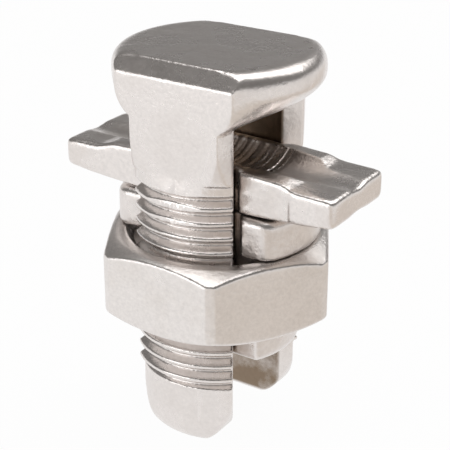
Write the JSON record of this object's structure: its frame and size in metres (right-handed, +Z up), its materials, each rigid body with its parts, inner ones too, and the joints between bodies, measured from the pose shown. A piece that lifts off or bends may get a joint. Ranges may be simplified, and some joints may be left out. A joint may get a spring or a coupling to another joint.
{
  "type": "split-bolt connector",
  "caption": "Slotted bolt that clamps two wires side by side: a spacer bar and a pressure pad slide between its legs and a hex nut drives them up.",
  "frame": {"origin": "centre of the flat top of the head, on the bolt's axis", "axes": "+Z up along the bolt's axis, away from the legs; +X along the wires, through the slot; +Y from one leg to the other"},
  "size_m": [0.0286, 0.0204, 0.0369],
  "materials": {
    "bolt_metal": "tin plated, satin, as forged",
    "spacer_metal": "tin plated, satin, as forged",
    "pad_metal": "tin plated, satin, as cast",
    "nut_metal": "tin plated, fine matt grain"
  },
  "bodies": {
    "bolt": {"split_bolt_body": "bolt_metal"},
    "pad": {"pressure_pad": "pad_metal"},
    "nut": {"hex_nut": "nut_metal"},
    "spacer": {"spacer_bar": "spacer_metal"}
  },
  "joints": [
    {"name": "nut_travel", "type": "slide", "parent": "bolt", "child": "pad", "axis": [0, 0, 1], "range_m": [-0.006, 0.0019]},
    {"name": "nut_turn", "type": "hinge", "parent": "pad", "child": "nut", "pos_m": [0, 0, -0.02088], "axis": [0, 0, 1], "range_deg": [-1531, 485]},
    {"name": "spacer_lift", "type": "slide", "parent": "pad", "child": "spacer", "axis": [0, 0, 1], "range_m": [0, 0.0021]}
  ],
  "couplings": [
    {"joint": "nut_turn", "follows": "nut_travel", "rad_per_m": 4453}
  ]
}
